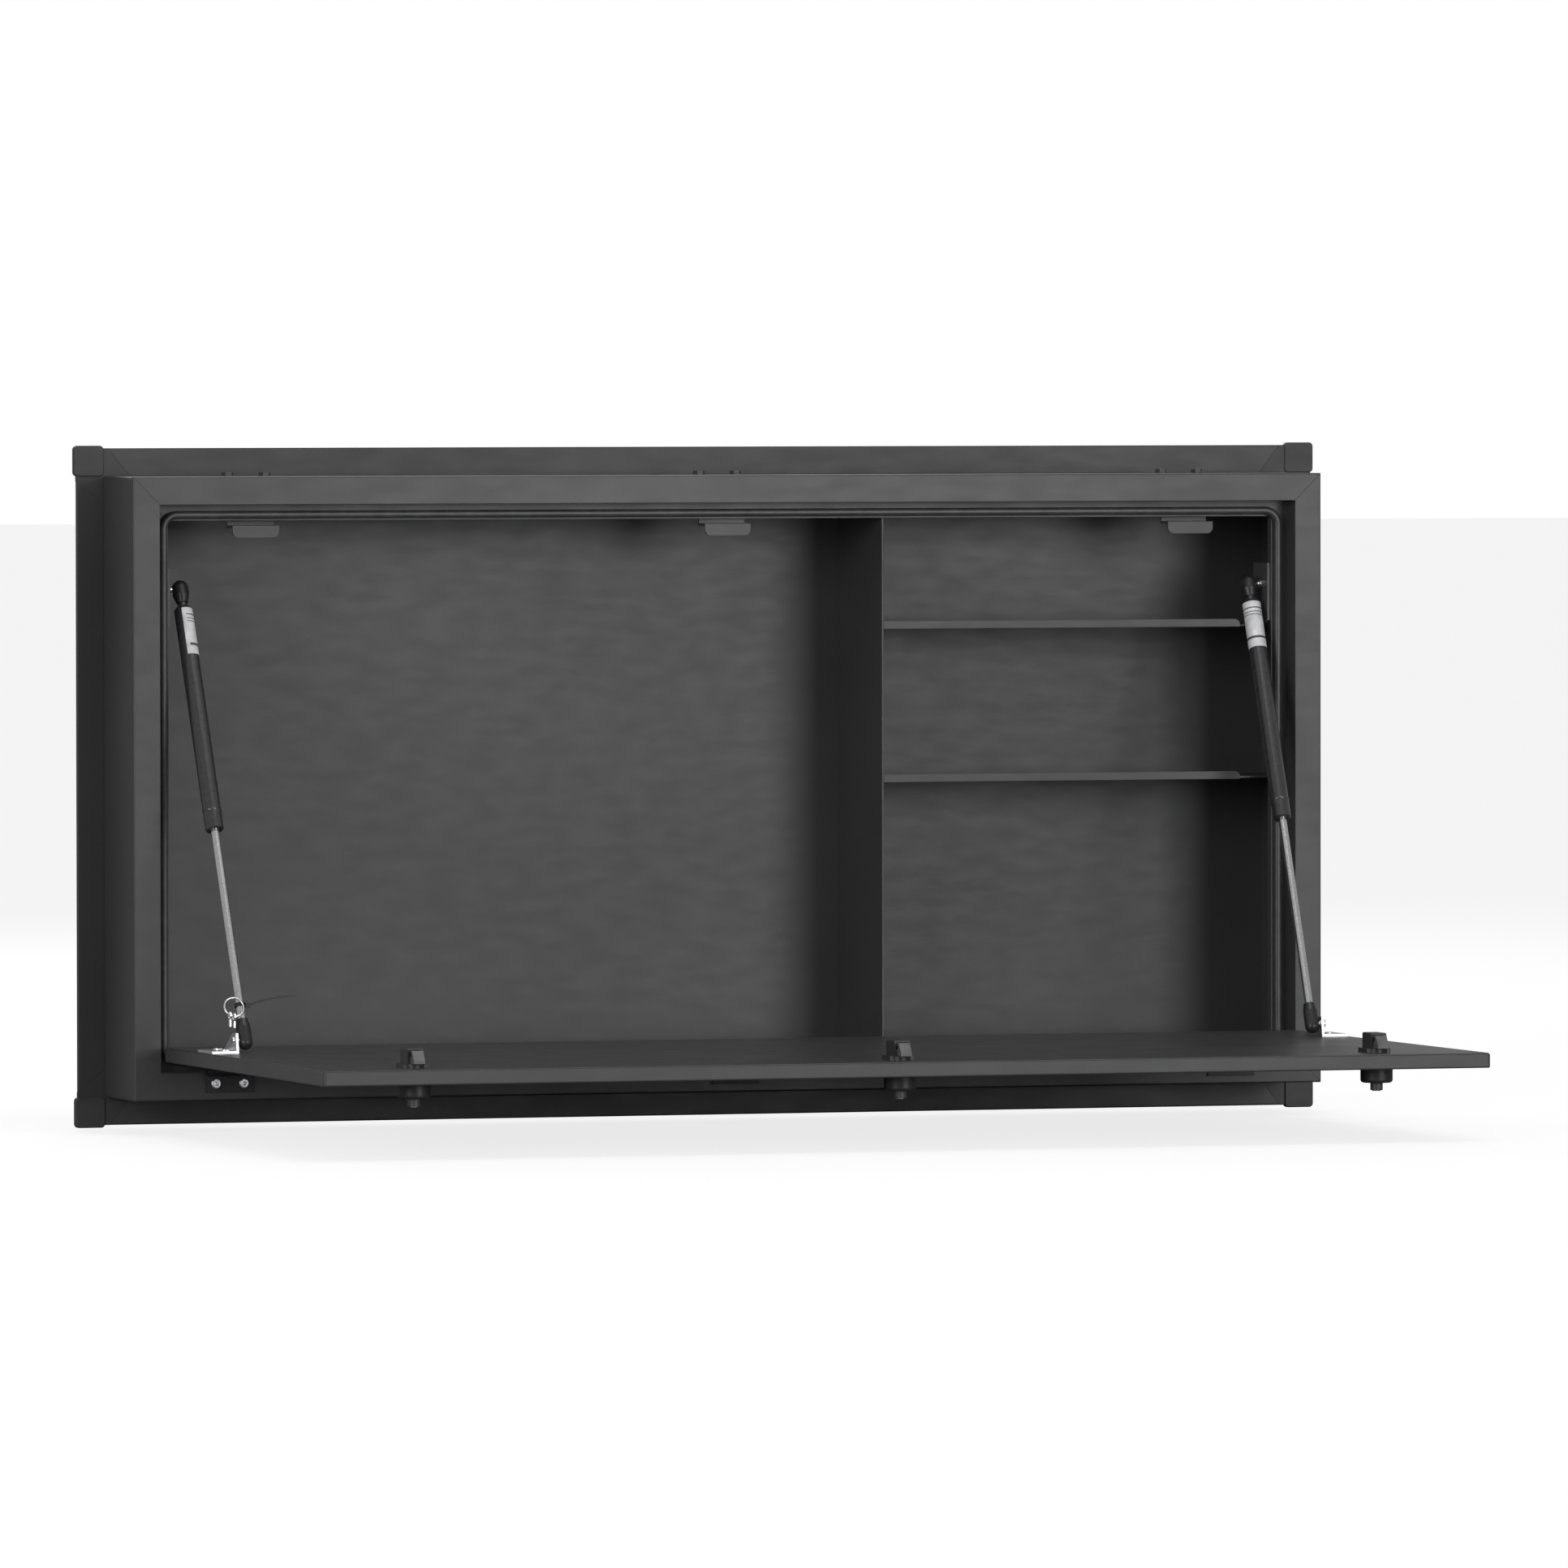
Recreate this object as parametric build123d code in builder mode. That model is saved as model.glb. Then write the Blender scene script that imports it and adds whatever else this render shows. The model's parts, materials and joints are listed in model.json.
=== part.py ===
from build123d import *
from math import atan2, degrees
import os

# A shallow sheet-metal tool box that is let into the side of a truck body.
# X runs along the box, +Y into the truck, +Z up. The origin is the centre of
# the back panel's rear face. Everything is drawn with the door hanging open.
# Millimetres.

# ---- cabinet ----
WIDTH = 1219.0
HEIGHT = 603.0
DEPTH = 170.5
SHEET = 2.0
FACE = 27.0            # width of the front frame's face
RECESS = 27.2          # from the face back to the ledge that carries the seal
LEDGE = 15.8           # width of that ledge
LIP = 10.0             # turned-back edge of the ledge
CORNER = 1.6           # outside bend radius of the front edges

# ---- mounting flange ----
FLANGE_SETBACK = 106.0
FLANGE_WIDTH = 27.3
FLANGE_THICK = 4.0
CAP = 29.8             # square cap on each corner casting
CAP_THICK = 7.0
CASTING_REACH = 26.5   # how far a casting runs along the strip, inner edge
CASTING_STEP = 5.0     # the same at the outer edge

# ---- inside ----
DIVIDER_X = 162.4
SHELF_TOP_Z = 150.5
SHELF_LOW_Z = -0.2
SHELF_LIP = 7.8
SHELF_LIP_END = 535.2
SHELF_NOTCH = 34.0     # clears the gas strut

# ---- door ----
DOOR_GAP = 2.0
DOOR_THICK = 14.4
PAN_SHEET = 1.5
PANEL_SHEET = 1.2
PANEL_INSET = 1.5
HEM = 14.0
HINGE_AHEAD = 4.5      # hinge axis in front of the frame's face
HINGE_Z = -273.0
DOOR_ABOVE_HINGE = 9.6

# ---- hinges ----
HINGE_X = (-514.0, 0.0, 514.0)
LEAF_LENGTH = 48.5
LEAF_THICK = 2.0
KNUCKLE_R = 4.5
PIN_R = 2.2
KNUCKLE_GAP = 0.3
RIVET_PITCH = 28.0

# ---- latches ----
LATCH_X = (-480.0, 0.0, 480.0)
LATCH_NAMES = ("left", "middle", "right")
BOLT_HALF = 5.5
BOLT_LOW = 4.4         # underside of the bolt above the inner panel
BOLT_TALL = 12.3
STRIKE_WIDTH = 47.0
STRIKE_THICK = 2.5

# ---- gas struts ----
TUBE_R = 9.0
TUBE_BORE_R = 7.7
ROD_R = 4.0
SOCKET_R = 7.0
UPPER_SOCKET_R = 8.0
BALL_R = 5.0
STUD_R = 2.6
UPPER_BALL = (549.5, 45.0, 192.0)     # X, behind the face, Z
LOWER_BALL = (543.0, -155.0, -236.5)
SIDES = (("left", -1), ("right", 1))

# ---- worked out ----
FRONT = -DEPTH
SIDE = WIDTH / 2
TOP = HEIGHT / 2
OPEN_X = SIDE - FACE
OPEN_Z = TOP - FACE
BAY_Z = OPEN_Z - LEDGE
LEDGE_BACK = FRONT + RECESS + SHEET
BACK_INNER = -SHEET
HINGE_Y = FRONT - HINGE_AHEAD
DOOR_OUTER = HINGE_Z + DOOR_ABOVE_HINGE
DOOR_INNER = DOOR_OUTER + DOOR_THICK
DOOR_HALF = OPEN_X - DOOR_GAP
DOOR_REAR = HINGE_Y - (-OPEN_Z + DOOR_GAP - HINGE_Z)
DOOR_FREE = HINGE_Y - (OPEN_Z - DOOR_GAP - HINGE_Z)
PAN_TOP = DOOR_INNER - PANEL_SHEET

os.makedirs("parts", exist_ok=True)


def depth(distance):
    """Y of a plane this far behind the frame's face."""
    return FRONT + distance


def block(x, y, z, mode=Mode.ADD):
    """A box between pairs of limits, added to the part in hand."""
    with Locations(((x[0] + x[1]) / 2, (y[0] + y[1]) / 2, (z[0] + z[1]) / 2)):
        Box(abs(x[1] - x[0]), abs(y[1] - y[0]), abs(z[1] - z[0]), mode=mode)


def rod_x(x, y, z, radius, mode=Mode.ADD):
    """A cylinder along X between two limits, added to the part in hand."""
    with Locations(((x[0] + x[1]) / 2, y, z)):
        Cylinder(radius, abs(x[1] - x[0]), rotation=(0, 90, 0), mode=mode)


def rod_y(x, y, z, radius, mode=Mode.ADD):
    """A cylinder along Y between two limits, added to the part in hand."""
    with Locations((x, (y[0] + y[1]) / 2, z)):
        Cylinder(radius, abs(y[1] - y[0]), rotation=(90, 0, 0), mode=mode)


def rod_z(x, y, z, radius, mode=Mode.ADD):
    """A cylinder along Z between two limits, added to the part in hand."""
    with Locations((x, y, (z[0] + z[1]) / 2)):
        Cylinder(radius, abs(z[1] - z[0]), mode=mode)


def save(part, name):
    part.label = name
    export_step(part, f"parts/{name}.step")


# ---------------------------------------------------------------- cabinet --

WALL_Y = (FRONT + SHEET, -SHEET)
STRIKE_BOLT_Y = depth(56.0)
STRIKE_BOLT_R = 3.0
STRIKE_BOLT_PITCH = 37.5
STRIKE_BOLT_X = [x + side * STRIKE_BOLT_PITCH / 2 for x in LATCH_X for side in (-1, 1)]

with BuildPart() as wall_top:
    block((-SIDE, SIDE), WALL_Y, (TOP - SHEET, TOP))
    fillet(wall_top.edges().filter_by(Axis.Y).group_by(Axis.Z)[-1], CORNER)
    for bolt_x in STRIKE_BOLT_X:
        rod_z(bolt_x, STRIKE_BOLT_Y, (TOP - 2 * SHEET, TOP + SHEET), STRIKE_BOLT_R, Mode.SUBTRACT)
save(wall_top.part, "wall_top")

with BuildPart() as wall_bottom:
    block((-SIDE, SIDE), WALL_Y, (-TOP, SHEET - TOP))
    fillet(wall_bottom.edges().filter_by(Axis.Y).group_by(Axis.Z)[0], CORNER)
save(wall_bottom.part, "wall_bottom")

for side_name, side in SIDES:
    with BuildPart() as wall:
        block((side * (SIDE - SHEET), side * SIDE), WALL_Y, (SHEET - TOP, TOP - SHEET))
    save(wall.part, f"wall_{side_name}")

with BuildPart() as back_panel:
    block((-SIDE, SIDE), (-SHEET, 0), (-TOP, TOP))
    fillet(back_panel.edges().filter_by(Axis.Y), CORNER)
save(back_panel.part, "back_panel")


def frame_member(side):
    """Folded section: face, recess wall, ledge and lip, with mitred ends."""
    level = side in ("top", "bottom")
    sign = 1 if side in ("top", "right") else -1
    out, half_run = (TOP, SIDE) if level else (SIDE, TOP)
    opening = out - FACE
    bay = opening - LEDGE
    ledge_front = FRONT + RECESS
    section = [
        (out, FRONT),
        (out, FRONT + SHEET),
        (opening + SHEET, FRONT + SHEET),
        (opening + SHEET, LEDGE_BACK),
        (bay + SHEET, LEDGE_BACK),
        (bay + SHEET, ledge_front + LIP),
        (bay, ledge_front + LIP),
        (bay, ledge_front),
        (opening, ledge_front),
        (opening, FRONT),
    ]
    deep = FACE + LEDGE + 5.0
    mitre = [
        (half_run + SHEET, out + SHEET),
        (half_run - deep, out - deep),
        (deep - half_run, out - deep),
        (-half_run - SHEET, out + SHEET),
    ]
    if level:
        profile_plane = Plane.YZ.offset(-half_run)
        corners = [(y, sign * u) for u, y in section]
        ends = [(run, sign * u) for run, u in mitre]
    else:
        profile_plane = Plane.XY.offset(-half_run)
        corners = [(sign * u, y) for u, y in section]
        ends = [(sign * u, run) for run, u in mitre]
    with BuildPart() as member:
        with BuildSketch(profile_plane) as profile:
            with BuildLine():
                Polyline(*corners, close=True)
            make_face()
        extrude(profile.sketch, amount=2 * half_run)
        run_edges = member.edges().filter_by(Axis.X if level else Axis.Z)
        outermost = run_edges.group_by(Axis.Z if level else Axis.X)[-1 if sign > 0 else 0]
        fillet(outermost.sort_by(Axis.Y)[0], CORNER)
        with BuildSketch(Plane.XZ) as wedge:
            with BuildLine():
                Polyline(*ends, close=True)
            make_face()
        extrude(wedge.sketch, amount=2 * DEPTH, both=True, mode=Mode.INTERSECT)
    return member.part


for side in ("top", "left", "right"):
    save(frame_member(side), f"front_frame_{side}")

# ----------------------------------------------------------------- flange --

FLANGE_Y = (depth(FLANGE_SETBACK), depth(FLANGE_SETBACK + FLANGE_THICK))
EDGE_ROUND = 1.5


def flange_strip(side):
    """One flat bar, its ends cut to meet the castings' slanted arms."""
    level = side in ("top", "bottom")
    half = SIDE if level else TOP
    base = TOP if level else SIDE
    sign = 1 if side in ("top", "right") else -1
    inner_end = half - CASTING_REACH
    outer_end = half - CASTING_STEP
    rim = base + FLANGE_WIDTH
    outline = [(-inner_end, base), (inner_end, base), (outer_end, rim), (-outer_end, rim)]
    if level:
        corners = [(along, sign * out) for along, out in outline]
    else:
        corners = [(sign * out, along) for along, out in outline]
    with BuildPart() as strip:
        with BuildSketch(Plane.XZ.offset(-FLANGE_Y[0])):
            with BuildLine():
                Polyline(*corners, close=True)
            make_face()
        extrude(amount=-FLANGE_THICK)
        run = Axis.X if level else Axis.Z
        across = Axis.Z if level else Axis.X
        long_edges = strip.edges().filter_by(run)
        fillet(long_edges.group_by(across)[-1 if sign > 0 else 0], EDGE_ROUND)
    return strip.part


def corner_casting(x_sign, z_sign):
    """An L-shaped corner with slanted arm ends and a thicker square cap."""
    out = FLANGE_WIDTH
    shape = [
        (out, out),
        (-CASTING_STEP, out),
        (-CASTING_REACH, 0),
        (0, 0),
        (0, -CASTING_REACH),
        (out, -CASTING_STEP),
    ]
    corners = [(x_sign * (SIDE + u), z_sign * (TOP + v)) for u, v in shape]
    cap_y = (FLANGE_Y[0] - 1.5, FLANGE_Y[0] - 1.5 + CAP_THICK)
    with BuildPart() as casting:
        with BuildSketch(Plane.XZ.offset(-FLANGE_Y[0])):
            with BuildLine():
                Polyline(*corners, close=True)
            make_face()
        extrude(amount=-FLANGE_THICK)
        with BuildSketch(Plane.XZ.offset(-cap_y[0])):
            with Locations((x_sign * (SIDE + CAP / 2), z_sign * (TOP + CAP / 2))):
                RectangleRounded(CAP, CAP, 4.0)
        extrude(amount=-CAP_THICK)
        fillet(casting.edges().group_by(Axis.Y)[0], 1.0)
    return casting.part


for side in ("top", "bottom", "left", "right"):
    save(flange_strip(side), f"flange_{side}")

for z_name, z_sign in (("top", 1), ("bottom", -1)):
    for side_name, side in SIDES:
        save(corner_casting(side, z_sign), f"corner_casting_{z_name}_{side_name}")

# ----------------------------------------------------------------- inside --

SEAL_OUT = 6.2         # recess wall to the seal's outer edge
SEAL_WIDE = 7.6
SEAL_FRONT = depth(20.0)
SEAL_CORNER = 14.0

with BuildPart() as door_seal:
    with BuildSketch(Plane.XZ.offset(-SEAL_FRONT)):
        RectangleRounded(2 * (OPEN_X - SEAL_OUT), 2 * (OPEN_Z - SEAL_OUT), SEAL_CORNER + SEAL_WIDE / 2)
        RectangleRounded(
            2 * (OPEN_X - SEAL_OUT - SEAL_WIDE),
            2 * (OPEN_Z - SEAL_OUT - SEAL_WIDE),
            SEAL_CORNER - SEAL_WIDE / 2,
            mode=Mode.SUBTRACT,
        )
    extrude(amount=-(FRONT + RECESS - SEAL_FRONT))
    fillet(door_seal.edges().group_by(Axis.Y)[0], 3.2)
save(door_seal.part, "door_seal")

INSIDE_Z = TOP - SHEET
INSIDE_X = SIDE - SHEET
DIVIDER_FRONT = LEDGE_BACK + 0.3
LIP_CLEAR = LIP + 1.0

with BuildPart() as divider:
    block((DIVIDER_X - SHEET / 2, DIVIDER_X + SHEET / 2), (DIVIDER_FRONT, BACK_INNER), (-INSIDE_Z, INSIDE_Z))
    for sign in (-1, 1):
        notch_y = (DIVIDER_FRONT - 1, FRONT + RECESS + LIP_CLEAR)
        block(
            (DIVIDER_X - SHEET, DIVIDER_X + SHEET),
            notch_y,
            (sign * (BAY_Z - 0.5), sign * (INSIDE_Z + 1)),
            Mode.SUBTRACT,
        )
save(divider.part, "divider")


def shelf(z):
    """A tray with a turned-up front lip; its right front corner is notched."""
    x0 = DIVIDER_X + SHEET / 2
    with BuildPart() as tray:
        block((x0, INSIDE_X), (DIVIDER_FRONT, BACK_INNER), (z - SHEET / 2, z + SHEET / 2))
        block(
            (SHELF_LIP_END, INSIDE_X + 1),
            (DIVIDER_FRONT - 1, DIVIDER_FRONT + SHELF_NOTCH),
            (z - SHEET, z + SHEET),
            Mode.SUBTRACT,
        )
        block((x0, SHELF_LIP_END), (DIVIDER_FRONT, DIVIDER_FRONT + SHEET), (z, z - SHEET / 2 + SHELF_LIP))
        lip_end = tray.edges().filter_by(Axis.Y).filter_by(lambda e: e.length < 2 * SHEET)
        fillet(lip_end.group_by(Axis.Z)[-1].sort_by(Axis.X)[-1], SHELF_LIP - SHEET)
    return tray.part


save(shelf(SHELF_TOP_Z), "shelf_upper")
save(shelf(SHELF_LOW_Z), "shelf_lower")

# ---- strike brackets: foot on the roof, web down, crank forward, leg down ----
STRIKE_LEG_Y = depth(21.0)
STRIKE_WEB_Y = depth(41.0)
STRIKE_FOOT_END = depth(75.0)
STRIKE_LEG_Z = 242.0
STRIKE_CRANK_Z = 254.0

with BuildPart() as strike_brackets:
    for latch_x in LATCH_X:
        span = (latch_x - STRIKE_WIDTH / 2, latch_x + STRIKE_WIDTH / 2)
        web_back = STRIKE_WEB_Y + STRIKE_THICK
        crank_low = STRIKE_CRANK_Z - STRIKE_THICK
        block(span, (STRIKE_WEB_Y, STRIKE_FOOT_END), (INSIDE_Z - STRIKE_THICK, INSIDE_Z))
        block(span, (STRIKE_WEB_Y, web_back), (crank_low, INSIDE_Z))
        block(span, (STRIKE_LEG_Y, web_back), (crank_low, STRIKE_CRANK_Z))
        block(span, (STRIKE_LEG_Y, STRIKE_LEG_Y + STRIKE_THICK), (STRIKE_LEG_Z, STRIKE_CRANK_Z))
    leg_corners = strike_brackets.edges().filter_by(Axis.Y).group_by(Axis.Z)[0]
    fillet(leg_corners, 6.0)
    for bolt_x in STRIKE_BOLT_X:
        rod_z(bolt_x, STRIKE_BOLT_Y, (INSIDE_Z - 2 * STRIKE_THICK, INSIDE_Z), STRIKE_BOLT_R, Mode.SUBTRACT)
save(strike_brackets.part, "strike_brackets")


def hexagon_z(x, y, z, across_flats):
    with BuildSketch(Plane.XY.offset(z[0])) as hexagon:
        with Locations((x, y)):
            RegularPolygon(across_flats / 2, 6, major_radius=False)
    extrude(hexagon.sketch, amount=z[1] - z[0])


with BuildPart() as strike_bolts:
    for bolt_x in STRIKE_BOLT_X:
        hexagon_z(bolt_x, STRIKE_BOLT_Y, (TOP, TOP + 4.0), 10.0)
        rod_z(bolt_x, STRIKE_BOLT_Y, (INSIDE_Z - STRIKE_THICK - 9.0, TOP), STRIKE_BOLT_R)
        hexagon_z(
            bolt_x,
            STRIKE_BOLT_Y,
            (INSIDE_Z - STRIKE_THICK - 5.0, INSIDE_Z - STRIKE_THICK),
            10.0,
        )
save(strike_bolts.part, "strike_bolts")

# ----------------------------------------------------------------- hinges --

LEAF_TOP_Z = HINGE_Z - 4.0
LEAF_LOW_Z = HINGE_Z - 20.7
LEAF_Y = (FRONT - LEAF_THICK, FRONT)
THIRD = LEAF_LENGTH / 3
RIVET_Z = -285.0
RIVET_HEAD_R = 5.0
RIVET_BODY_R = 2.4
RIVET_HEAD = 1.6
RIVET_HOLE_R = 1.8
DOOR_LEAF_REAR = HINGE_Y - KNUCKLE_R
DOOR_LEAF_REACH = 23.0
DOOR_RIVET_Y = DOOR_LEAF_REAR - 13.0
PIN_RUNNING_FIT = 0.05


def hinge_sections(hinge_x):
    """X limits of the three knuckles of one hinge, left to right."""
    start = hinge_x - LEAF_LENGTH / 2
    gap = KNUCKLE_GAP / 2
    left = (start, start + THIRD - gap)
    middle = (start + THIRD + gap, start + 2 * THIRD - gap)
    right = (start + 2 * THIRD + gap, start + 3 * THIRD)
    return left, middle, right


def rivet_x(hinge_x):
    return (hinge_x - RIVET_PITCH / 2, hinge_x + RIVET_PITCH / 2)


with BuildPart() as hinge_frame_leaves:
    for hinge_x in HINGE_X:
        left, middle, right = hinge_sections(hinge_x)
        block((left[0], right[1]), LEAF_Y, (LEAF_LOW_Z, LEAF_TOP_Z - 1.2))
        for knuckle in (left, right):
            block(knuckle, LEAF_Y, (LEAF_LOW_Z, HINGE_Z))
            rod_x(knuckle, HINGE_Y, HINGE_Z, KNUCKLE_R)
        for knuckle in (left, right):
            rod_x(knuckle, HINGE_Y, HINGE_Z, PIN_R, Mode.SUBTRACT)
        for x in rivet_x(hinge_x):
            rod_y(x, (FRONT - 2 * LEAF_THICK, FRONT), RIVET_Z, RIVET_BODY_R, Mode.SUBTRACT)
save(hinge_frame_leaves.part, "hinge_frame_leaves")

with BuildPart() as hinge_pins:
    for hinge_x in HINGE_X:
        half = LEAF_LENGTH / 2 + 1.2
        rod_x((hinge_x - half, hinge_x + half), HINGE_Y, HINGE_Z, PIN_R)
save(hinge_pins.part, "hinge_pins")

with BuildPart() as hinge_door_leaves:
    for hinge_x in HINGE_X:
        left, middle, right = hinge_sections(hinge_x)
        plate_z = (DOOR_OUTER - LEAF_THICK, DOOR_OUTER)
        block((left[0], right[1]), (DOOR_LEAF_REAR - DOOR_LEAF_REACH, DOOR_LEAF_REAR), plate_z)
        block(middle, (DOOR_LEAF_REAR, DOOR_LEAF_REAR + LEAF_THICK), (HINGE_Z, DOOR_OUTER))
        rod_x(middle, HINGE_Y, HINGE_Z, KNUCKLE_R)
        rod_x(middle, HINGE_Y, HINGE_Z, PIN_R + PIN_RUNNING_FIT, Mode.SUBTRACT)
        for x in rivet_x(hinge_x):
            rod_z(x, DOOR_RIVET_Y, plate_z, RIVET_BODY_R, Mode.SUBTRACT)
save(hinge_door_leaves.part, "hinge_door_leaves")


def blind_rivet(profile_plane):
    """A blind rivet on the Z axis of a plane: domed ring head, hollow body."""
    with BuildPart(profile_plane) as rivet:
        with BuildSketch(Plane.XY) as head:
            Circle(RIVET_HEAD_R)
        extrude(head.sketch, amount=RIVET_HEAD)
        fillet(rivet.edges().sort_by(Axis.Z)[-1], 1.2)
        with Locations((0, 0, -3.4)):
            Cylinder(RIVET_BODY_R, 6.8)
        with Locations((0, 0, RIVET_HEAD - 1.5)):
            Cylinder(RIVET_HOLE_R, 3.0, mode=Mode.SUBTRACT)
    return rivet.part


RIVET = blind_rivet(Plane.XY)
FRAME_RIVET_SPOTS = [
    Plane(origin=(x, LEAF_Y[0], RIVET_Z), x_dir=(1, 0, 0), z_dir=(0, -1, 0))
    for hinge_x in HINGE_X
    for x in rivet_x(hinge_x)
]
DOOR_RIVET_SPOTS = [
    Plane(origin=(x, DOOR_RIVET_Y, DOOR_OUTER - LEAF_THICK), x_dir=(1, 0, 0), z_dir=(0, 0, -1))
    for hinge_x in HINGE_X
    for x in rivet_x(hinge_x)
]


def rivet_row(spots):
    with BuildPart() as row:
        for spot in spots:
            add(spot.from_local_coords(RIVET))
    return row.part


save(rivet_row(FRAME_RIVET_SPOTS), "hinge_frame_rivets")
save(rivet_row(DOOR_RIVET_SPOTS), "hinge_door_rivets")

with BuildPart() as front_frame_bottom:
    add(frame_member("bottom"))
    for hinge_x in HINGE_X:
        for x in rivet_x(hinge_x):
            rod_y(x, (FRONT - 1, FRONT + SHEET + 1), RIVET_Z, RIVET_BODY_R, Mode.SUBTRACT)
save(front_frame_bottom.part, "front_frame_bottom")

# ------------------------------------------------------------------- door --

LATCH_Y = depth(-507.0)
BARREL_R = 10.0

with BuildPart() as door_outer_pan:
    block((-DOOR_HALF, DOOR_HALF), (DOOR_FREE, DOOR_REAR), (DOOR_OUTER, PAN_TOP))
    fillet(door_outer_pan.edges().filter_by(Axis.Z), 3.0)
    fillet(door_outer_pan.edges().group_by(Axis.Z)[0], 1.4)
    hollow_z = (DOOR_OUTER + PAN_SHEET, PAN_TOP - PAN_SHEET)
    block(
        (-DOOR_HALF + PAN_SHEET, DOOR_HALF - PAN_SHEET),
        (DOOR_FREE + PAN_SHEET, DOOR_REAR - PAN_SHEET),
        hollow_z,
        Mode.SUBTRACT,
    )
    block(
        (-DOOR_HALF + HEM, DOOR_HALF - HEM),
        (DOOR_FREE + HEM, DOOR_REAR - HEM),
        (DOOR_OUTER + PAN_SHEET, PAN_TOP + 1),
        Mode.SUBTRACT,
    )
    for latch_x in LATCH_X:
        rod_z(latch_x, LATCH_Y, (DOOR_OUTER - 1, DOOR_OUTER + PAN_SHEET + 1), BARREL_R, Mode.SUBTRACT)
    for hinge_x in HINGE_X:
        for x in rivet_x(hinge_x):
            rod_z(x, DOOR_RIVET_Y, (DOOR_OUTER - 1, DOOR_OUTER + PAN_SHEET + 1), RIVET_BODY_R, Mode.SUBTRACT)
save(door_outer_pan.part, "door_outer_pan")

# ---- strut brackets on the door: foot, upright gusset and ball stud ----
UPRIGHT_X = (551.0, 553.5)
FOOT_X = (553.5, 578.0)
FOOT_THICK = 2.5
BRACKET_Y = (depth(-163.0), depth(-113.0))
LOWER_Y = depth(LOWER_BALL[1])
LOWER_Z = LOWER_BALL[2]
FOOT_RIVET_X = 561.5
FOOT_RIVET_Y = (depth(-152.0), depth(-126.0))
FOOT_RIVET_R = 2.4

with BuildPart() as door_inner_panel:
    block(
        (-DOOR_HALF + PANEL_INSET, DOOR_HALF - PANEL_INSET),
        (DOOR_FREE + PANEL_INSET, DOOR_REAR - PANEL_INSET),
        (PAN_TOP, DOOR_INNER),
    )
    for latch_x in LATCH_X:
        rod_z(latch_x, LATCH_Y, (PAN_TOP - 1, DOOR_INNER + 1), BARREL_R, Mode.SUBTRACT)
    for side_name, side in SIDES:
        for y in FOOT_RIVET_Y:
            rod_z(side * FOOT_RIVET_X, y, (PAN_TOP - 1, DOOR_INNER + 1), FOOT_RIVET_R, Mode.SUBTRACT)
save(door_inner_panel.part, "door_inner_panel")

with BuildPart() as door_strut_brackets:
    for side_name, side in SIDES:
        block((side * UPRIGHT_X[0], side * FOOT_X[1]), BRACKET_Y, (DOOR_INNER, DOOR_INNER + FOOT_THICK))
        with BuildSketch(Plane.YZ.offset(side * UPRIGHT_X[0])):
            with BuildLine():
                Polyline(
                    (BRACKET_Y[0], DOOR_INNER),
                    (BRACKET_Y[1], DOOR_INNER),
                    (LOWER_Y + 6.0, LOWER_Z + 7.0),
                    (LOWER_Y - 5.0, LOWER_Z + 7.0),
                    close=True,
                )
            make_face()
        extrude(amount=side * (UPRIGHT_X[1] - UPRIGHT_X[0]))
        rod_x((side * (UPRIGHT_X[0] - 1), side * (UPRIGHT_X[1] + 1)), LOWER_Y, LOWER_Z, STUD_R, Mode.SUBTRACT)
        for y in FOOT_RIVET_Y:
            rod_z(side * FOOT_RIVET_X, y, (DOOR_INNER, DOOR_INNER + FOOT_THICK), FOOT_RIVET_R, Mode.SUBTRACT)
save(door_strut_brackets.part, "door_strut_brackets")

with BuildPart() as door_strut_studs:
    rod_x((LOWER_BALL[0], UPRIGHT_X[1] + 2.5), LOWER_Y, LOWER_Z, STUD_R)
    rod_x((UPRIGHT_X[0] - 0.8, UPRIGHT_X[0]), LOWER_Y, LOWER_Z, 4.0)
    rod_x((UPRIGHT_X[1], UPRIGHT_X[1] + 2.5), LOWER_Y, LOWER_Z, 4.0)
    with Locations((LOWER_BALL[0], LOWER_Y, LOWER_Z)):
        Sphere(BALL_R, rotation=(0, 90, 0))
    mirror(about=Plane.YZ)
save(door_strut_studs.part, "door_strut_studs")

with BuildPart() as door_bracket_rivets:
    for side_name, side in SIDES:
        for y in FOOT_RIVET_Y:
            foot_top = DOOR_INNER + FOOT_THICK
            rod_z(side * FOOT_RIVET_X, y, (PAN_TOP - 3.0, foot_top), FOOT_RIVET_R)
            rod_z(side * FOOT_RIVET_X, y, (foot_top, foot_top + 1.4), 2 * FOOT_RIVET_R)
            rod_z(side * FOOT_RIVET_X, y, (PAN_TOP - 3.0, PAN_TOP), 1.4 * FOOT_RIVET_R)
save(door_bracket_rivets.part, "door_bracket_rivets")

# ---------------------------------------------------------------- latches --

HOUSING_HALF = 7.8
HOUSING_FLANGE = 12.0
HOUSING_Y = (depth(-513.0), depth(-489.0))
HOUSING_TOP = DOOR_INNER + 19.0
FLOOR_TOP = DOOR_INNER + BOLT_LOW - 0.1
BOLT_Z = (DOOR_INNER + BOLT_LOW, DOOR_INNER + BOLT_LOW + BOLT_TALL)
BOLT_Y = (depth(-526.0), depth(-498.5))
BOLT_NOSE = 3.0
BOLT_BEVEL = 6.5
CAVITY_HALF = BOLT_HALF + 0.3
BARREL_TOP = FLOOR_TOP - 0.3
BUTTON_R = 6.0
BUTTON_TRAVEL = 6.0
BOLT_TRAVEL = 8.6
STEM_R = 3.2
STEM_SLOT_HALF = STEM_R + 0.1
STEM_TOP = BOLT_Z[0] + 5.6
CROSS_PIN_R = 1.5
CROSS_PIN_Z = BOLT_Z[0] + 3.1
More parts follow.
